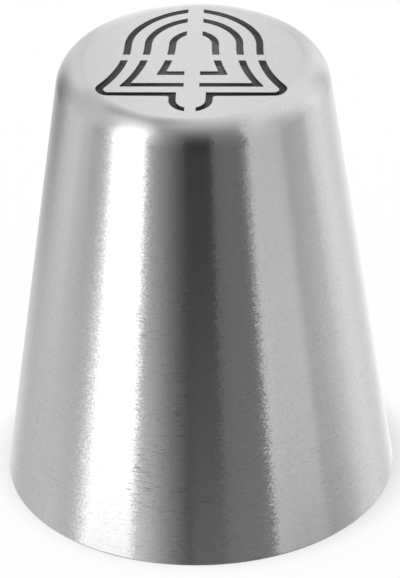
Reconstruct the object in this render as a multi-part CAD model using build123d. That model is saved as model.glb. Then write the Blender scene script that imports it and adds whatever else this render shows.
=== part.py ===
from build123d import *
import math
import os

# Piping nozzle: one cup of stainless sheet, drawn to a cone. The narrow end is closed by a flat
# face that is slotted in the outline of a bell, and the wide end is open.
# Millimetres, +Z up. The origin is the centre of the open rim, which stands on the table.
# +Y on the end face points to the crown of the bell.

# Drawn cup
height = 40.0
base_diameter = 33.2          # outside, at the open rim
end_diameter = 22.8           # outside, where the line of the wall would meet the end face
sheet_thickness = 0.5
shoulder_radius = 2.4         # outside, from the wall to the end face
rim_edge_break = 0.15         # deburred edges of the open rim
cut_overrun = 1.0             # how far the cutting forms stand past the sheet

# Slots and the bridges of sheet left between them
slot_width = 0.55
slot_corner = 0.1             # rounding of the pointed corners in the two inner bells
upright_bridge_width = 1.38
level_bridge_width = 1.0
clapper_bridge_width = 1.0

# The bell's places are measured from the centre of the end face, as shares of the radius of its
# flat part. Each outline below is the outside edge of a slot.
outer_bell_shares = dict(half_width=0.631, crown=0.973, waist=0.291, shoulder=0.625, flare=1.238, lip=0.587)
middle_bell_shares = dict(half_width=0.447, crown=0.805, waist=0.321, shoulder=0.409, flare=1.453, lip=0.433)
inner_bell_shares = dict(half_width=0.224, crown=0.581, waist=0.334, shoulder=0.204, flare=1.614, lip=0.224)
crown_pitch = 8.5             # degrees that each half of a crown still falls at the middle

# The lip of the outer bell sags between rounded corners, and its slot widens down the flare.
lip_sag_share = 0.013
lip_corner_share = 0.118
inside_flare_share = 1.374
inside_lip_share = 0.539
inside_corner_share = 0.054

# Clapper, a round-ended tongue that hangs from the lip of the outer bell
clapper_radius_share = 0.197
clapper_centre_share = 0.68
clapper_root_share = 0.032
level_bridge_share = 0.086    # the level bridge is centred this far above the middle of the face

# The wall's slope, and the flat left on the end face once the shoulder has turned
wall_slope = (base_diameter - end_diameter) / 2 / height
shoulder_turn = math.atan2(1, wall_slope)
flat_radius = end_diameter / 2 - shoulder_radius * math.tan(shoulder_turn / 2)


def wall_radius(level, depth):
    """Radius of the cone at a height above the rim, a given depth under its outside."""
    return base_diameter / 2 - level * wall_slope - depth * math.hypot(1, wall_slope)


def cup_outline(depth):
    """Half outline of the cup from its axis to the rim, a given depth under its outside."""
    top = height - depth
    points = [(0, top), (wall_radius(top, depth), top), (wall_radius(0, depth), 0)]
    return FilletPolyline(*points, radius=shoulder_radius - depth)


def drawn_cup():
    """Closed-ended cone of even sheet, trimmed level at the open rim and deburred there."""
    outside = cup_outline(0)
    inside = cup_outline(sheet_thickness)
    ends = [Line(outside @ 0, inside @ 0), Line(outside @ 1, inside @ 1)]
    section = make_face([outside.edges(), inside.edges(), ends])
    section = chamfer(section.vertices().group_by(Axis.Y)[0], rim_edge_break)
    return revolve(Plane.XZ * section, axis=Axis.Z)


def arc_about(centre, start, end):
    """The shorter arc about a centre from one point to another."""
    radius = (start - centre).length
    towards = (start - centre).normalized() + (end - centre).normalized()
    return ThreePointArc(start, centre + towards.normalized() * radius, end)


def crown_radius(across, down, shoulder):
    """Radius of the crown arc that runs smoothly into the shoulder arc of a bell."""
    pitch = math.radians(crown_pitch)
    gap = shoulder ** 2 - across ** 2 - down ** 2
    return gap / (across * math.sin(pitch) + down * math.cos(pitch) + shoulder) / 2


def bell_face(half_width, crown, waist, shoulder, flare, lip, sag=0):
    """Face of one bell: crown, shoulder and flare arcs on each side, closed by the lip."""
    pitch = math.radians(crown_pitch)
    apex = Vector(0, crown)
    hip = Vector(half_width, waist)
    shoulder_centre = hip - Vector(shoulder, 0)
    crown_arc = crown_radius(shoulder_centre.X, waist - crown, shoulder)
    crown_centre = apex - Vector(math.sin(pitch), math.cos(pitch)) * crown_arc
    join = crown_centre + (shoulder_centre - crown_centre).normalized() * crown_arc
    flare_centre = hip + Vector(flare, 0)
    corner = Vector(flare_centre.X - math.sqrt(flare ** 2 - (waist + lip) ** 2), -lip)
    side = [
        arc_about(crown_centre, apex, join),
        arc_about(shoulder_centre, join, hip),
        arc_about(flare_centre, hip, corner),
    ]
    far_corner = Vector(-corner.X, -lip)
    bottom = ThreePointArc(corner, (0, -lip - sag), far_corner) if sag else Line(corner, far_corner)
    return make_face([side, mirror(side, about=Plane.YZ), bottom])


def scaled(shares):
    """Sizes of a bell outline, worked out from its shares of the flat's radius."""
    return {name: share * flat_radius for name, share in shares.items()}


def rounded_corners(face, radius):
    """The face with its two widest corners rounded."""
    across = face.vertices().sort_by(Axis.X)
    return fillet([across[0], across[-1]], radius)


def tongue(radius):
    """Clapper from the middle of the face down to its round end."""
    depth = clapper_centre_share * flat_radius
    stem = Rectangle(2 * radius, depth, align=(Align.CENTER, Align.MAX))
    return stem + Pos(0, -depth) * Circle(radius)


def outer_slot():
    """Slot round the outer bell and its clapper, still unbroken by bridges."""
    sizes = scaled(outer_bell_shares)
    bell = bell_face(**sizes, sag=lip_sag_share * flat_radius)
    bell = rounded_corners(bell, lip_corner_share * flat_radius)
    clapper_radius = clapper_radius_share * flat_radius
    outside = bell + tongue(clapper_radius)
    roots = [
        outside.vertices().sort_by_distance((side * clapper_radius, -sizes["lip"]))[0]
        for side in (-1, 1)
    ]
    outside = fillet(roots, clapper_root_share * flat_radius)

    for name in ("half_width", "crown", "shoulder"):
        sizes[name] -= slot_width
    sizes["flare"] = inside_flare_share * flat_radius
    sizes["lip"] = inside_lip_share * flat_radius
    inside = rounded_corners(bell_face(**sizes), inside_corner_share * flat_radius)
    return outside - (inside + tongue(clapper_radius - slot_width))


def plain_slot(shares):
    """Slot of even width round the inside of a bell outline with nearly sharp corners."""
    bell = bell_face(**scaled(shares))
    inside = offset(bell, amount=-slot_width, kind=Kind.INTERSECTION)
    return rounded_corners(bell, slot_corner) - rounded_corners(inside, slot_corner)


def bridges():
    """Cross of sheet that the slots stop at, and its narrower foot through the clapper."""
    reach = flat_radius + cut_overrun
    lip = inside_lip_share * flat_radius
    upright = Pos(0, -lip) * Rectangle(upright_bridge_width, lip + reach, align=(Align.CENTER, Align.MIN))
    level = Pos(0, level_bridge_share * flat_radius) * Rectangle(2 * reach, level_bridge_width)
    foot = Rectangle(clapper_bridge_width, reach, align=(Align.CENTER, Align.MAX))
    return upright + level + foot


def slot_cutter():
    """Upright prisms of all the slots, reaching from inside the cup through its end face."""
    slots = outer_slot() + plain_slot(middle_bell_shares) + plain_slot(inner_bell_shares)
    depth = sheet_thickness + cut_overrun
    return extrude(Pos(0, 0, height - depth) * (slots - bridges()), depth + cut_overrun)


def nozzle_shell():
    """The whole nozzle: the drawn cup with the bell slotted through its end face."""
    return drawn_cup() - slot_cutter()


os.makedirs("parts", exist_ok=True)
nozzle = nozzle_shell()
export_step(nozzle, "parts/nozzle_shell.step")
print("nozzle_shell", round(nozzle.volume, 1), "cubic mm, flat radius", round(flat_radius, 3))
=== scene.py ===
import math
import bmesh
import bpy
from mathutils import Matrix, Vector


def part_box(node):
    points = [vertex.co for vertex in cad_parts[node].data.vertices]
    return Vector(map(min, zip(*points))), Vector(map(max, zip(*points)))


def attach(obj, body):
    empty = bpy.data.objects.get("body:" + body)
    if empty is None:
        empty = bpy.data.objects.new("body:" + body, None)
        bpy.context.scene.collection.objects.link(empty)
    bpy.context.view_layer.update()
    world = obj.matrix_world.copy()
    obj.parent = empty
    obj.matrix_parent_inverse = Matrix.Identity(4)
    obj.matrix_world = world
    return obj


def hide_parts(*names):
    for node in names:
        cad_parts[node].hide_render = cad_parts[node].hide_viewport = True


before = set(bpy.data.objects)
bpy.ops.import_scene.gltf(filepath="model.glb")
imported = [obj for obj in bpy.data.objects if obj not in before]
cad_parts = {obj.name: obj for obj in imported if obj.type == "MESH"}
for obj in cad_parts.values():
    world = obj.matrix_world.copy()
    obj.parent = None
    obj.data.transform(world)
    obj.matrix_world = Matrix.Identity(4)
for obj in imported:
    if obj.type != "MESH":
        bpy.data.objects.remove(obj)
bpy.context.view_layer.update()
mm = 0.001


# Camera as the photograph was taken: long lens, looking down past the end face
photoView = {
    "film": 36,         # mm along the height of the picture
    "lens": 604.0,      # mm
    "reach": 0.7077,    # level distance from the nozzle's axis
    "rise": 0.4536,     # above the table
    "turn": 2.47,       # degrees round from straight in front of the bell
    "pitch": 58.357,
    "heading": 2.4535,
    "roll": -1.186,
    "farthest": 20,
}


def placeCamera():
    data = bpy.data.cameras.new("photoCamera")
    data.sensor_fit = "VERTICAL"
    data.sensor_height = photoView["film"]
    data.lens = photoView["lens"]
    data.clip_end = photoView["farthest"]
    camera = bpy.data.objects.new("photoCamera", data)
    bpy.context.scene.collection.objects.link(camera)
    turn = math.radians(photoView["turn"])
    reach = photoView["reach"]
    spot = (reach * math.sin(turn), -reach * math.cos(turn), photoView["rise"])
    camera.matrix_world = (
        Matrix.Translation(spot)
        @ Matrix.Rotation(math.radians(photoView["heading"]), 4, "Z")
        @ Matrix.Rotation(math.radians(photoView["pitch"]), 4, "X")
        @ Matrix.Rotation(math.radians(photoView["roll"]), 4, "Z")
    )
    bpy.context.scene.camera = camera


def newMaterial(name):
    material = bpy.data.materials.new(name)
    material.use_nodes = True
    material.node_tree.nodes.clear()
    return material, material.node_tree


def addNode(tree, kind, **settings):
    node = tree.nodes.new(kind)
    for key, value in settings.items():
        setattr(node, key, value)
    return node


def wire(tree, start, end):
    tree.links.new(start, end)


def maths(tree, operation, *inputs):
    node = addNode(tree, "ShaderNodeMath", operation=operation)
    for socket, value in zip(node.inputs, inputs):
        if isinstance(value, (int, float)):
            socket.default_value = value
        else:
            wire(tree, value, socket)
    return node.outputs[0]


def newPiece(name, bm, *materials):
    mesh = bpy.data.meshes.new(name)
    bm.to_mesh(mesh)
    bm.free()
    for material in materials:
        mesh.materials.append(material)
    piece = bpy.data.objects.new(name, mesh)
    bpy.context.scene.collection.objects.link(piece)
    return piece


def betweenEnds(tree, value, low, high, first=0.0, last=1.0, kind="LINEAR"):
    level = addNode(tree, "ShaderNodeMapRange", interpolation_type=kind)
    wire(tree, value, level.inputs["Value"])
    for socket, number in zip(("From Min", "From Max", "To Min", "To Max"), (low, high, first, last)):
        level.inputs[socket].default_value = number
    return level.outputs[0]


def fadeAlong(tree, place, fade):
    start, end = fade[0][0], fade[-1][0]
    most = max(share for spot, share in fade)
    curve = addNode(tree, "ShaderNodeFloatCurve")
    wire(tree, betweenEnds(tree, place, start * mm, end * mm), curve.inputs["Value"])
    line = curve.mapping.curves[0]
    for spot, share in fade[1:-1]:
        line.points.new((spot - start) / (end - start), share / most)
    line.points[0].location.y = fade[0][1] / most
    line.points[-1].location.y = fade[-1][1] / most
    curve.mapping.update()
    return maths(tree, "MULTIPLY", curve.outputs[0], most)


def softBand(tree, place, middle, half):
    away = maths(tree, "ABSOLUTE", maths(tree, "SUBTRACT", place, middle))
    return betweenEnds(tree, away, 0, half, 1, 0, "SMOOTHSTEP")


def emissionFrom(tree, strength, mask=None):
    light = addNode(tree, "ShaderNodeEmission")
    if isinstance(strength, float):
        light.inputs["Strength"].default_value = strength
    else:
        wire(tree, strength, light.inputs["Strength"])
    surface = light.outputs[0]
    if mask:
        mix = addNode(tree, "ShaderNodeMixShader")
        wire(tree, mask, mix.inputs["Fac"])
        wire(tree, addNode(tree, "ShaderNodeBsdfTransparent").outputs[0], mix.inputs[1])
        wire(tree, surface, mix.inputs[2])
        surface = mix.outputs[0]
    wire(tree, surface, addNode(tree, "ShaderNodeOutputMaterial").inputs["Surface"])


def objectPlace(tree):
    split = addNode(tree, "ShaderNodeSeparateXYZ")
    wire(tree, addNode(tree, "ShaderNodeTexCoord").outputs["Object"], split.inputs[0])
    return split.outputs


def degreesRound(tree, middle):
    turned = addNode(tree, "ShaderNodeVectorRotate", rotation_type="Z_AXIS")
    turned.inputs["Angle"].default_value = -math.radians(middle + photoView["turn"])
    wire(tree, addNode(tree, "ShaderNodeTexCoord").outputs["Object"], turned.inputs["Vector"])
    split = addNode(tree, "ShaderNodeSeparateXYZ")
    wire(tree, turned.outputs[0], split.inputs[0])
    forward = maths(tree, "MULTIPLY", split.outputs["Y"], -1)
    return maths(tree, "DEGREES", maths(tree, "ARCTAN2", split.outputs["X"], forward))


def glossyOnly(piece):
    piece.visible_camera = False
    piece.visible_diffuse = False
    piece.visible_transmission = False
    piece.visible_shadow = False


# The studio is a white room with a pale table. Cards hang on a drum close round the nozzle, light
# nothing else, and show only where the steel mirrors them
drum = {
    "radius": 60 * mm,
    "foot": -80 * mm,
    "knee": 5 * mm,           # cards hang straight up to here and may lean above
    "top": 113 * mm,
    "stepDegrees": 3,
    "flagStep": 0.5 * mm,     # how much nearer each flag hangs than the one before
    "evenSteps": 3,           # cards grade by steps that look even, as powers of this
}
# How a card fades up the drum: height (mm) and share of its brightness
fades = {
    "back": (
        (-80, 1.4), (-30, 1.4), (-14, 1.25), (-2, 1.13), (12, 1), (40, 0.98), (57, 0.96), (64, 0.75),
        (71, 0.44), (80, 0.66), (88, 0.8), (95, 0.84),
    ),
    "backSide": (
        (-80, 1.4), (-30, 1.4), (-14, 1.24), (-2, 1.1), (6, 1.03), (12, 0.98), (40, 1.0), (57, 0.93),
        (70, 0.9),
    ),
    "backLeft": (
        (-80, 1.12), (-10, 1.12), (5, 1.03), (20, 1.04), (45, 0.93), (62, 1.0), (76, 1.05), (83, 0.97),
        (90, 0.73), (100, 0.77), (113, 0.85),
    ),
    "sideLeft": (
        (-80, 1), (-10, 1), (0, 1.03), (10, 1.14), (22, 1.2), (36, 1.1), (46, 1), (60, 0.93), (113, 1),
    ),
    "dip": (
        (-30, 1.25), (-13, 1.18), (-9, 1.05), (8, 1), (14, 0.97), (18, 0.91), (22, 0.89), (36, 1.05),
        (60, 1.17), (90, 1.15), (113, 1.1),
    ),
    "stripEdge": (
        (-30, 1), (-13, 1.1), (-8, 1.05), (8, 1), (18, 0.86), (25, 0.74), (40, 0.78), (64, 1.07),
        (80, 1.2), (113, 1.17),
    ),
    "strip": ((-30, 0.3), (-17, 0.6), (-12, 0.95), (-8, 1), (113, 1)),
    "flag": (
        (-30, 3.1), (-13, 2.7), (-9, 1.05), (2, 1), (16, 0.42), (30, 0.34), (60, 0.28), (90, 0.45),
        (113, 1.1),
    ),
    "leftFlag": (
        (-30, 1.6), (-13, 1.4), (-9, 0.88), (8, 0.96), (14, 0.70), (18, 0.39), (22, 0.34), (30, 0.54),
        (46, 0.8), (65, 0.93), (80, 0.96), (94, 1.08), (113, 1.35),
    ),
    "rightFlag": (
        (-30, 1.5), (-13, 1.35), (-9, 1), (2, 1), (20, 0.83), (45, 0.88), (65, 1.08), (80, 1.25),
        (94, 1.4), (113, 1.5),
    ),
    "right": (
        (-30, 0.4), (-17, 0.47), (-13, 0.6), (-9, 1.04), (-5, 1.28), (0, 1.24), (6, 1.04), (14, 0.86),
        (43, 0.8), (60, 0.87), (81, 0.94), (113, 0.96),
    ),
    "farRight": (
        (-30, 0.56), (-13, 0.65), (-5, 1.06), (0, 1.03), (8, 0.86), (14, 0.69), (22, 0.65), (43, 0.75),
        (64, 0.9), (113, 0.95),
    ),
    "backRight": ((-80, 1.02), (8, 1), (22, 0.87), (70, 0.85)),
    "sideRight": ((-30, 0.88), (-18, 0.95), (-5, 1), (2, 1), (8, 0.93), (16, 0.93), (30, 1), (70, 1)),
}
# Cards on the drum: where they start and end (degrees round from the camera, + to its right), how
# many degrees the top leans, brightness at the start and the end, height of the top (mm), fade
cards = {
    "backCard": (166, 183, 0, 1.18, 1.9, 95, "back"),
    "backCardLeft": (183, 196, 0, 1.9, 1.0, 95, "back"),
    "backLeftCard": (-164, -142, 0, 0.88, 1.0, 113, "backLeft"),
    "backLeftEdge": (-142, -128, 0, 1.0, 0.72, 113, "backLeft"),
    "sideLeftCard": (-128, -93, 0, 0.68, 0.73, 113, "sideLeft"),
    "leftCard": (-93, -80, 0, 0.72, 0.6, 113, "dip"),
    "leftStripCard": (-80, -71, 0, 0.57, 0.65, 113, "stripEdge"),
    "stripEdge": (-71, -62, 0, 0.66, 1.55, 113, "stripEdge"),
    "keyStrip": (-62, -30, 0, 1.9, 1.9, 113, "strip"),
    "frontFlag": (-35, 35, 0, 0.09, 0.09, 113, "flag"),
    "rightCardEdge": (30, 46, 0, 1.02, 0.79, 113, "right"),
    "rightCard": (46, 67, 0, 0.79, 0.79, 113, "right"),
    "farRightCard": (67, 90, 0, 0.64, 0.74, 113, "farRight"),
    "sideRightCard": (90, 108, 0, 0.74, 1.08, 70, "sideRight"),
    "backSideCard": (108, 127, 0, 1.08, 0.86, 70, "sideRight"),
    "backRightCard": (127, 146, 0, 0.78, 1.38, 70, "backRight"),
    "backRightEdge": (146, 166, 0, 1.14, 0.92, 70, "backSide"),
}
# The same for the flags that hang in front of them
flags = {
    "leftFlag": (-34.9, -5, -5, 0.75, 0.085, 113, "leftFlag"),
    "rightFlag": (11.5, 30, 3, 0.175, 0.21, 113, "rightFlag"),
    "rightFlagEdge": (20, 36.8, 6, 0.20, 0.19, 113, "rightFlag"),
}


def drumPiece(name, material, start, end, lean, foot, top, radius):
    bm = bmesh.new()
    levels = [foot, drum["knee"], top]
    spots = [bm.verts.new((0, -radius, level)) for level in levels]
    for low, high in zip(spots, spots[1:]):
        bm.edges.new((low, high))
    bmesh.ops.rotate(bm, verts=spots[-1:], matrix=Matrix.Rotation(math.radians(lean), 3, "Z"))
    turn = math.radians(start + photoView["turn"])
    bmesh.ops.rotate(bm, verts=spots, matrix=Matrix.Rotation(turn, 3, "Z"))
    bmesh.ops.spin(
        bm, geom=bm.verts[:] + bm.edges[:], axis=(0, 0, 1), angle=math.radians(end - start),
        steps=math.ceil((end - start) / drum["stepDegrees"]),
    )
    glossyOnly(newPiece(name, bm, material))


def hangCards():
    hung = [(drum["radius"], name, card) for name, card in cards.items()]
    for number, (name, flag) in enumerate(flags.items(), start=1):
        hung.append((drum["radius"] - number * drum["flagStep"], name, flag))
    for radius, name, (start, end, lean, first, last, top, fade) in hung:
        material, tree = newMaterial(name)
        place = objectPlace(tree)
        middle = (start + end) / 2
        across = degreesRound(tree, middle)
        steps = [brightness ** (1 / drum["evenSteps"]) for brightness in (first, last)]
        strength = betweenEnds(tree, across, start - middle, end - middle, *steps)
        strength = maths(tree, "POWER", strength, drum["evenSteps"])
        strength = maths(tree, "MULTIPLY", strength, fadeAlong(tree, place["Z"], fades[fade]))
        emissionFrom(tree, strength)
        drumPiece(name, material, start, end, lean, drum["foot"], top * mm, radius)


# Soft dark patch in front of the cards at the back left
backLeftGap = {
    "middle": -130,             # degrees
    "halfWidth": 26,
    "level": 31 * mm,
    "halfHeight": 49 * mm,
    "nearer": 3 * mm,           # than the cards
    "light": 0.2,
}


def hangGap():
    gap = backLeftGap
    material, tree = newMaterial("backLeftGap")
    place = objectPlace(tree)
    across = softBand(tree, degreesRound(tree, gap["middle"]), 0, gap["halfWidth"])
    mask = maths(tree, "MULTIPLY", across, softBand(tree, place["Z"], gap["level"], gap["halfHeight"]))
    emissionFrom(tree, gap["light"], mask)
    ends = (gap["middle"] - gap["halfWidth"], gap["middle"] + gap["halfWidth"])
    foot, top = gap["level"] - gap["halfHeight"], gap["level"] + gap["halfHeight"]
    drumPiece("backLeftGap", material, *ends, 0, foot, top, drum["radius"] - gap["nearer"])


# Overhead cards: left, right, front and back edges
overheadCards = {
    "overheadFront": (-30 * mm, 44 * mm, -60 * mm, 0),
    "overheadBack": (-30 * mm, 26 * mm, 0, 90 * mm),
}
# Their brightness from the front to the back: place (mm) and strength
overheadFade = ((-60, 0.1), (-40, 0.22), (-20, 0.47), (4, 0.72), (37, 0.86), (63, 1.06), (90, 1.2))


def flatCard(name, material, size, middle, angle=0.0):
    bm = bmesh.new()
    bmesh.ops.create_grid(bm, x_segments=1, y_segments=1, size=0.5)
    bmesh.ops.scale(bm, verts=bm.verts, vec=(*size, 1))
    bmesh.ops.rotate(bm, verts=bm.verts, matrix=Matrix.Rotation(angle, 3, "Z"))
    bmesh.ops.translate(bm, verts=bm.verts, vec=middle)
    glossyOnly(newPiece(name, bm, material))


def hangOverhead():
    material, tree = newMaterial("overheadCards")
    emissionFrom(tree, fadeAlong(tree, objectPlace(tree)["Y"], overheadFade))
    for name, (left, right, front, back) in overheadCards.items():
        middle = ((right + left) / 2, (back + front) / 2, drum["top"])
        flatCard(name, material, (right - left, back - front), middle)


# Soft dark bar under the overhead cards
overheadBar = {
    "start": (-8 * mm, 24 * mm),
    "end": (-56 * mm, 58 * mm),
    "halfWidth": 25 * mm,
    "below": 1 * mm,
    "fullness": 1.8,            # above 1, its middle is dark all through
    "light": 0.0,
}


def hangBar():
    bar = overheadBar
    start, end = Vector(bar["start"]), Vector(bar["end"])
    line = end - start
    middle = (start + end) / 2
    square = Vector((-line.y, line.x)).normalized()    # across the bar
    material, tree = newMaterial("overheadBar")
    across = addNode(tree, "ShaderNodeVectorMath", operation="DOT_PRODUCT")
    wire(tree, addNode(tree, "ShaderNodeTexCoord").outputs["Object"], across.inputs[0])
    across.inputs[1].default_value = (*square, 0)
    mask = softBand(tree, across.outputs["Value"], middle.dot(square), bar["halfWidth"])
    mask = maths(tree, "MINIMUM", maths(tree, "MULTIPLY", mask, bar["fullness"]), 1)
    emissionFrom(tree, bar["light"], mask)
    size = (line.length, 2 * bar["halfWidth"])
    middle = (*middle, drum["top"] - bar["below"])
    flatCard("overheadBar", material, size, middle, math.atan2(line.y, line.x))


# Table: white to the camera, with a faint painted shadow where the rim stands on it
paleTable = {
    "size": 4.0,
    "white": 0.98,
    "glow": 0.9,              # share of plain white that the table shows, over its shaded white
    "contactReach": 2.6 * mm,
    "contactShade": 0.5,
    "contactSamples": 16,
    "contactLean": (-0.2, -0.5, 0.8),    # the painted shadow falls away from this side: in front, a little to the left
}


# Painted shadow: ambient occlusion darkens the table's glow near the rim
def whiteWithPaintedShadow(tree):
    contact = addNode(tree, "ShaderNodeAmbientOcclusion", samples=paleTable["contactSamples"])
    contact.inputs["Distance"].default_value = paleTable["contactReach"]
    lean = addNode(tree, "ShaderNodeCombineXYZ")
    for socket, share in zip(lean.inputs, paleTable["contactLean"]):
        socket.default_value = share
    wire(tree, lean.outputs[0], contact.inputs["Normal"])
    return betweenEnds(tree, contact.outputs["AO"], 0, 1, 1 - paleTable["contactShade"], 1)


def layFloor():
    material, tree = newMaterial("paleTable")
    path = addNode(tree, "ShaderNodeLightPath").outputs
    seen = maths(tree, "MAXIMUM", path["Is Camera Ray"], path["Is Glossy Ray"])
    seen = maths(tree, "MAXIMUM", seen, path["Is Transmission Ray"])
    shaded = addNode(tree, "ShaderNodeBsdfDiffuse")
    shaded.inputs["Color"].default_value = (*[paleTable["white"]] * 3, 1)
    glow = addNode(tree, "ShaderNodeEmission")
    wire(tree, whiteWithPaintedShadow(tree), glow.inputs["Strength"])
    mix = addNode(tree, "ShaderNodeMixShader")
    wire(tree, maths(tree, "MULTIPLY", seen, paleTable["glow"]), mix.inputs["Fac"])
    wire(tree, shaded.outputs[0], mix.inputs[1])
    wire(tree, glow.outputs[0], mix.inputs[2])
    wire(tree, mix.outputs[0], addNode(tree, "ShaderNodeOutputMaterial").inputs["Surface"])
    bm = bmesh.new()
    bmesh.ops.create_grid(bm, x_segments=1, y_segments=1, size=paleTable["size"] / 2)
    floor = newPiece("floor", bm, material)
    floor.visible_glossy = False    # as in the photograph, the wall mirrors the cards and not the table


# Dark disc that closes the drum below the table
darkDisc = {"light": 0.18, "radius": 72 * mm, "sides": 48}


def closeUnderside():
    material, tree = newMaterial("underTable")
    emissionFrom(tree, darkDisc["light"])
    bm = bmesh.new()
    sides, radius = darkDisc["sides"], darkDisc["radius"]
    bmesh.ops.create_circle(bm, cap_ends=True, segments=sides, radius=radius)
    bmesh.ops.translate(bm, verts=bm.verts, vec=(0, 0, drum["foot"]))
    glossyOnly(newPiece("underTable", bm, material))


whiteRoom = {"light": 1.0}


def lightRoom():
    world = bpy.data.worlds.new("whiteRoom")
    bpy.context.scene.world = world
    world.use_nodes = True
    tree = world.node_tree
    tree.nodes.clear()
    background = addNode(tree, "ShaderNodeBackground")
    background.inputs["Color"].default_value = (1, 1, 1, 1)
    background.inputs["Strength"].default_value = whiteRoom["light"]
    wire(tree, background.outputs[0], addNode(tree, "ShaderNodeOutputWorld").inputs["Surface"])


# Shell of the nozzle: drawn cup of even sheet, with the slots cut through its end face
shellForm = {
    "rimRadius": 16.6 * mm,      # outside, at the open rim
    "endRadius": 11.4 * mm,      # outside, where the line of the wall would meet the end face
    "sheet": 0.5 * mm,
    "shoulder": 2.4 * mm,        # outside radius of the turn into the end face
    "rimEdge": 0.15 * mm,        # broken edges of the open rim
    "rimSteps": 3,
    "slotEdge": 0.035 * mm,      # burr taken off the slots
    "slotSteps": 2,
    "overrun": 1.0 * mm,         # how far the cutters stand past the sheet
    "around": 192,
    "shoulderSteps": 14,
    "wallRings": 12,
    "cornerAngle": 1.0,          # radians; rim and slot edges turn by more than this
    "sharpAngle": math.radians(50),
    "hair": 0.001 * mm,
}


def profile(bm, depth, height):
    rim, end = shellForm["rimRadius"], shellForm["endRadius"]
    slope = (rim - end) / height
    turn = math.atan2(1, slope)
    flat = end - shellForm["shoulder"] * math.tan(turn / 2)
    centre = Vector((flat, 0, height - shellForm["shoulder"]))
    reach = Vector((math.sin(turn), 0, math.cos(turn))) * (shellForm["shoulder"] - depth)
    foot = bm.verts.new((rim - depth * math.hypot(1, slope), 0, 0))
    top = bm.verts.new(centre + reach)
    bm.edges.new((foot, top))
    steps = shellForm["shoulderSteps"]
    bmesh.ops.spin(bm, geom=[top], cent=centre, axis=(0, 1, 0), angle=-turn, steps=steps)
    return foot


def atLevel(edge, level):
    return all(abs(vert.co.z - level) < shellForm["hair"] for vert in edge.verts)


def cornersAt(bm, level):
    least = shellForm["cornerAngle"]
    return [edge for edge in bm.edges if atLevel(edge, level) and edge.calc_face_angle(0) > least]


def breakEdges(bm, edges, size, steps):
    bmesh.ops.bevel(
        bm, geom=edges, offset=size, offset_type="OFFSET", affect="EDGES", segments=steps,
        profile=0.5, material=-1,
    )


def drawnCup(height):
    bm = bmesh.new()
    feet = [profile(bm, depth, height) for depth in (0, shellForm["sheet"])]
    bm.edges.new(feet)
    section = bm.verts[:] + bm.edges[:]
    around = shellForm["around"]
    bmesh.ops.spin(bm, geom=section, axis=(0, 0, 1), angle=math.tau, steps=around, use_merge=True)
    wallTop = height - shellForm["shoulder"]
    for ring in range(1, shellForm["wallRings"]):
        everything = bm.verts[:] + bm.edges[:] + bm.faces[:]
        level = (0, 0, wallTop * ring / shellForm["wallRings"])
        bmesh.ops.bisect_plane(
            bm, geom=everything, dist=shellForm["hair"], plane_co=level, plane_no=(0, 0, 1)
        )
    bmesh.ops.holes_fill(bm, edges=[edge for edge in bm.edges if edge.is_boundary], sides=0)
    bmesh.ops.remove_doubles(bm, verts=bm.verts, dist=shellForm["hair"])
    bmesh.ops.recalc_face_normals(bm, faces=bm.faces)
    breakEdges(bm, cornersAt(bm, 0), shellForm["rimEdge"], shellForm["rimSteps"])
    return bm


def slotCutters(cadShell, height):
    bm = bmesh.new()
    bm.from_mesh(cadShell.data)
    bmesh.ops.remove_doubles(bm, verts=bm.verts, dist=shellForm["hair"])
    slotEdges = set(cornersAt(bm, height))
    others = [edge for edge in bm.edges if edge not in slotEdges]
    bmesh.ops.delete(bm, geom=bm.faces[:], context="FACES_ONLY")
    bmesh.ops.delete(bm, geom=others, context="EDGES")
    bmesh.ops.delete(bm, geom=[vert for vert in bm.verts if not vert.link_edges], context="VERTS")
    caps = bmesh.ops.edgeloop_fill(bm, edges=bm.edges[:])["faces"]
    bmesh.ops.translate(bm, verts=bm.verts, vec=(0, 0, shellForm["overrun"]))
    grown = bmesh.ops.extrude_face_region(bm, geom=caps, use_keep_orig=True)["geom"]
    lowered = [item for item in grown if isinstance(item, bmesh.types.BMVert)]
    depth = shellForm["sheet"] + 2 * shellForm["overrun"]
    bmesh.ops.translate(bm, verts=lowered, vec=(0, 0, -depth))
    bmesh.ops.recalc_face_normals(bm, faces=bm.faces)
    return bm


def finished(piece):
    shape = piece.evaluated_get(bpy.context.evaluated_depsgraph_get())
    return bpy.data.meshes.new_from_object(shape)


def cutMesh(piece, cutter):
    cut = piece.modifiers.new("slots", "BOOLEAN")
    cut.operation = "DIFFERENCE"
    cut.solver = "EXACT"
    cut.object = cutter
    return finished(piece)


def flattenShading(piece):
    weighted = piece.modifiers.new("evenShading", "WEIGHTED_NORMAL")
    weighted.weight = 100
    weighted.keep_sharp = True
    piece.data = finished(piece)
    piece.modifiers.clear()


# How a face is told apart before it gets its finish
faceLimits = {
    "slotReach": 1.04,           # slots lie within this share of the flat of the end face
    "slotRise": 0.1,             # most that a slot wall's normal rises or drops
    "inward": 0.3,               # least that an inside wall's normal points to the axis
    "downward": 0.5,             # least that the end face's normal drops on its inside
}
finishes = {"wall": 0, "endFace": 1, "slot": 2, "inside": 3}


def giveFinishes(bm, height):
    under = height - shellForm["sheet"]
    burrFoot = height - 2 * shellForm["slotEdge"]
    slotReach = (shellForm["endRadius"] - shellForm["shoulder"]) * faceLimits["slotReach"]
    for face in bm.faces:
        centre = face.calc_center_median()
        outward = face.normal.dot(Vector((centre.x, centre.y, 0)).normalized())
        slotLip = centre.z > burrFoot and centre.xy.length < slotReach
        slotWall = centre.z > under and abs(face.normal.z) < faceLimits["slotRise"]
        face.smooth = True
        if centre.z > height - shellForm["hair"]:
            face.material_index = finishes["endFace"]
        elif slotLip or slotWall:
            face.material_index = finishes["slot"]
        elif outward < -faceLimits["inward"] or face.normal.z < -faceLimits["downward"]:
            face.material_index = finishes["inside"]
    for edge in bm.edges:
        edge.smooth = edge.calc_face_angle(0) < shellForm["sharpAngle"]


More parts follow.
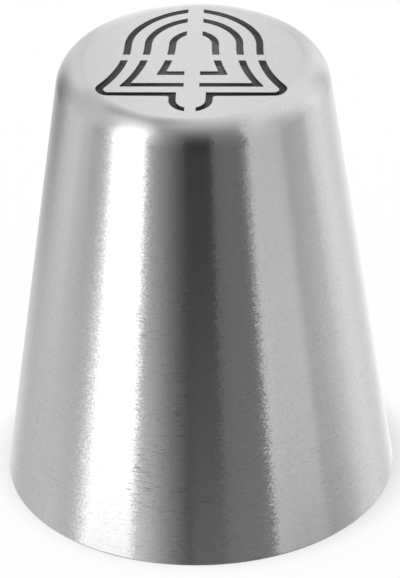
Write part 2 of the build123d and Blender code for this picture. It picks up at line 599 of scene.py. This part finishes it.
# Marks that drawing and brushing leave. For each: detail of its noise, the lowest and highest value
# of it that counts, and what the mark is there
toolMarks = {
    "Grain": (1, 0.25, 0.75, -1, 1),
    "Streaks": (1, 0.25, 0.75, -1, 1),
    "Dashes": (0, 0.58, 0.72, 0, 1),
    "Patches": (1, 0.35, 0.65, 0, 1),
}
# How streaks and dashes differ from the grain. Then how the marks grow on the way down from the
# middle of the end face to the rim: where they start to, where they are full, and their share at each
markForm = {
    "streakStretch": 14,      # times as long
    "dashFineness": 1.4,      # times as fine
    "grainGrowth": (-26 * mm, 0, 0.7, 1),
    "patchGrowth": (-20 * mm, 5 * mm, 0.1, 1),
}


def markGroup():
    group = bpy.data.node_groups.new("toolMarks", "ShaderNodeTree")
    for name in ("Along", "Across", "Dash Length", "Patch Size"):
        group.interface.new_socket(name, in_out="INPUT", socket_type="NodeSocketFloat")
    for name in ("Grain", "Streaks", "Dashes", "Patches"):
        group.interface.new_socket(name, in_out="OUTPUT", socket_type="NodeSocketFloat")
    given = addNode(group, "NodeGroupInput").outputs
    place = objectPlace(group)
    squares = [maths(group, "MULTIPLY", place[axis], place[axis]) for axis in "XY"]
    radius = maths(group, "SQRT", maths(group, "ADD", *squares))
    down = maths(group, "SUBTRACT", radius, place["Z"])    # grows all the way to the rim
    result = addNode(group, "NodeGroupOutput")
    streakAlong = maths(group, "DIVIDE", given["Along"], markForm["streakStretch"])
    dashAlong = maths(group, "DIVIDE", given["Along"], given["Dash Length"])
    dashAcross = maths(group, "MULTIPLY", given["Across"], markForm["dashFineness"])
    patch = maths(group, "DIVIDE", 1, given["Patch Size"])
    scales = {
        "Grain": (given["Along"], given["Across"]),
        "Streaks": (streakAlong, given["Across"]),
        "Dashes": (dashAlong, dashAcross),
        "Patches": (patch, patch),
    }
    levels = {}
    for name, (along, across) in scales.items():
        detail, *ends = toolMarks[name]
        spot = addNode(group, "ShaderNodeCombineXYZ")
        wire(group, maths(group, "MULTIPLY", place["X"], along), spot.inputs["X"])
        wire(group, maths(group, "MULTIPLY", place["Y"], along), spot.inputs["Y"])
        wire(group, maths(group, "MULTIPLY", down, across), spot.inputs["Z"])
        noise = addNode(group, "ShaderNodeTexNoise")
        noise.inputs["Scale"].default_value = 1
        noise.inputs["Detail"].default_value = detail
        wire(group, spot.outputs[0], noise.inputs["Vector"])
        levels[name] = betweenEnds(group, noise.outputs["Fac"], *ends)
    patchGrowth = betweenEnds(group, down, *markForm["patchGrowth"])
    patches = maths(group, "MULTIPLY", levels["Patches"], patchGrowth)
    grainGrowth = betweenEnds(group, down, *markForm["grainGrowth"])
    grain = maths(group, "MULTIPLY", levels["Grain"], grainGrowth)
    wire(group, grain, result.inputs["Grain"])
    wire(group, levels["Streaks"], result.inputs["Streaks"])
    wire(group, maths(group, "MULTIPLY", levels["Dashes"], patches), result.inputs["Dashes"])
    wire(group, patches, result.inputs["Patches"])
    return group


# Finishes of the shell. The grain's counts along and across the brushing are per metre. Tone is how
# much a mark lightens the colour, and Lean how many degrees it tips the surface
looks = {
    "wall": {
        "colour": (0.70, 0.70, 0.70), "roughness": 0.278, "roughChange": 0.002, "brushed": True,
        "along": 4700, "across": 5500, "dashLength": 4, "patchSize": 3 * mm,
        "grainTone": 0.07, "streakTone": 0.02, "dashTone": -0.12,
        "grainLean": 1.6, "streakLean": 0.12, "dashLean": 2.8,
    },
    "endFace": {
        "colour": (0.66, 0.66, 0.66), "roughness": 0.36, "roughChange": 0.03, "brushed": False,
        "along": 3500, "across": 3500, "dashLength": 3, "patchSize": 2 * mm,
        "grainTone": 0.07, "streakTone": 0.0, "dashTone": -0.05,
        "grainLean": 1.2, "streakLean": 0.0, "dashLean": 1.0,
    },
    "slot": {
        "colour": (0.52, 0.52, 0.52), "roughness": 0.55, "roughChange": 0.05, "brushed": False,
        "along": 5000, "across": 3000, "dashLength": 2, "patchSize": 1 * mm,
        "grainTone": 0.12, "streakTone": 0.0, "dashTone": -0.1,
        "grainLean": 2.0, "streakLean": 0.0, "dashLean": 1.0,
        # Cutting oxide at the top of the slot walls, with painted shade reaching deeper towards the lip
        "stainAndShade": {"levels": (39.8 * mm, 39.95 * mm), "shares": (0, 0.7), "shadeDeeperAtLip": 0.25 * mm},
    },
    "inside": {
        "colour": (0.78, 0.78, 0.78), "roughness": 0.45, "roughChange": 0.05, "brushed": False,
        "along": 1500, "across": 3000, "dashLength": 2, "patchSize": 3 * mm,
        "grainTone": 0.05, "streakTone": 0.05, "dashTone": -0.05,
        "grainLean": 1.0, "streakLean": 1.0, "dashLean": 1.0,
        # Painted shade: the inside of the cup is darker towards the bottom, below 34 mm
        "stainAndShade": {"levels": (29 * mm, 34 * mm), "shares": (0.58, 0), "shadeDeeperAtLip": 0.0},
    },
}
# Dark stain, partly cutting oxide and partly painted shade. On the slot walls it is cutting oxide near
# the end face and painted shade where it goes deeper towards the lip of the outer bell. Inside the cup
# it is painted shade only. How far out the deeper painted shade starts and is deepest, and how much it
# reaches up the bell's sides, as a share of their distance from the middle
stainAndShadeForm = {"colour": (0.03, 0.03, 0.03), "lipStarts": 4 * mm, "lipFull": 8.5 * mm, "upSides": 0.5}
toneSpan = 0.2    # most that marks lighten or darken the colour


def colourSocket(sockets, name):
    return [socket for socket in sockets if socket.name == name and socket.type == "RGBA"][0]


# Mask of the stain and painted shade: up the slot walls, deeper towards the lip, and low inside the cup
def stainAndShadeMask(tree, stainAndShade):
    place = objectPlace(tree)
    aside = maths(tree, "MULTIPLY", maths(tree, "ABSOLUTE", place["X"]), stainAndShadeForm["upSides"])
    lipSide = maths(tree, "SUBTRACT", aside, place["Y"])
    ends = (stainAndShadeForm["lipStarts"], stainAndShadeForm["lipFull"])
    deeper = betweenEnds(tree, lipSide, *ends, 0, stainAndShade["shadeDeeperAtLip"])
    level = maths(tree, "ADD", place["Z"], deeper)
    return betweenEnds(tree, level, *stainAndShade["levels"], *stainAndShade["shares"], "SMOOTHSTEP")


def mixMarks(tree, pattern, look, use):
    parts = [
        maths(tree, "MULTIPLY", pattern.outputs[output], look[kind + use])
        for output, kind in (("Grain", "grain"), ("Streaks", "streak"), ("Dashes", "dash"))
    ]
    return maths(tree, "ADD", maths(tree, "ADD", *parts[:2]), parts[2])


def steelColour(tree, look, tone):
    mix = addNode(tree, "ShaderNodeMix", data_type="RGBA")
    wire(tree, betweenEnds(tree, tone, -toneSpan, toneSpan), mix.inputs["Factor"])
    for socket, change in (("A", 1 - toneSpan), ("B", 1 + toneSpan)):
        colour = [channel * change for channel in look["colour"]]
        colourSocket(mix.inputs, socket).default_value = (*colour, 1)
    clean = colourSocket(mix.outputs, "Result")
    if "stainAndShade" not in look:
        return clean
    # Darken with the stain and painted shade
    stainedAndShaded = addNode(tree, "ShaderNodeMix", data_type="RGBA")
    wire(tree, stainAndShadeMask(tree, look["stainAndShade"]), stainedAndShaded.inputs["Factor"])
    wire(tree, clean, colourSocket(stainedAndShaded.inputs, "A"))
    colourSocket(stainedAndShaded.inputs, "B").default_value = (*stainAndShadeForm["colour"], 1)
    return colourSocket(stainedAndShaded.outputs, "Result")


def leanedNormal(tree, towards, degrees):
    push = addNode(tree, "ShaderNodeVectorMath", operation="SCALE")
    wire(tree, towards, push.inputs[0])
    wire(tree, maths(tree, "RADIANS", degrees), push.inputs["Scale"])
    leaned = addNode(tree, "ShaderNodeVectorMath", operation="ADD")
    wire(tree, addNode(tree, "ShaderNodeNewGeometry").outputs["Normal"], leaned.inputs[0])
    wire(tree, push.outputs[0], leaned.inputs[1])
    unit = addNode(tree, "ShaderNodeVectorMath", operation="NORMALIZE")
    wire(tree, leaned.outputs[0], unit.inputs[0])
    return unit.outputs[0]


def steel(name, look, marks):
    material, tree = newMaterial(name)
    shader = addNode(tree, "ShaderNodeBsdfPrincipled")
    shader.inputs["Metallic"].default_value = 1
    pattern = addNode(tree, "ShaderNodeGroup", node_tree=marks)
    given = [look[key] for key in ("along", "across", "dashLength", "patchSize")]
    for socket, value in zip(pattern.inputs, given):
        socket.default_value = value
    colour = steelColour(tree, look, mixMarks(tree, pattern, look, "Tone"))
    wire(tree, colour, shader.inputs["Base Color"])
    rough, change = look["roughness"], look["roughChange"]
    patches = betweenEnds(tree, pattern.outputs["Patches"], 0, 1, rough - change, rough + change)
    wire(tree, patches, shader.inputs["Roughness"])
    circle = addNode(tree, "ShaderNodeTangent", direction_type="RADIAL", axis="Z").outputs[0]
    if look["brushed"]:
        shader.inputs["Anisotropic"].default_value = 1.0
        shader.inputs["Anisotropic Rotation"].default_value = 0.25    # bands run down the wall
        wire(tree, circle, shader.inputs["Tangent"])
    normal = leanedNormal(tree, circle, mixMarks(tree, pattern, look, "Lean"))
    wire(tree, normal, shader.inputs["Normal"])
    wire(tree, shader.outputs[0], addNode(tree, "ShaderNodeOutputMaterial").inputs["Surface"])
    return material


def makeNozzle():
    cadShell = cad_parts["nozzle_shell"]
    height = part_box("nozzle_shell")[1].z
    marks = markGroup()
    blank = newPiece("blank", drawnCup(height))
    print("cup drawn")
    cutter = newPiece("slotCutters", slotCutters(cadShell, height))
    bm = bmesh.new()
    bm.from_mesh(cutMesh(blank, cutter))
    for item in (blank, cutter):
        bpy.data.objects.remove(item)
    breakEdges(bm, cornersAt(bm, height), shellForm["slotEdge"], shellForm["slotSteps"])
    print("slots cut")
    giveFinishes(bm, height)
    piece = newPiece("nozzle", bm, *[steel(name, looks[name], marks) for name in finishes])
    flattenShading(piece)
    print("finishes given")
    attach(piece, "root")
    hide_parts("nozzle_shell")


placeCamera()
print("camera placed")
lightRoom()
hangCards()
hangGap()
hangOverhead()
hangBar()
closeUnderside()
layFloor()
print("studio ready")
makeNozzle()
print("nozzle made")

bpy.context.scene.view_settings.view_transform = "Standard"
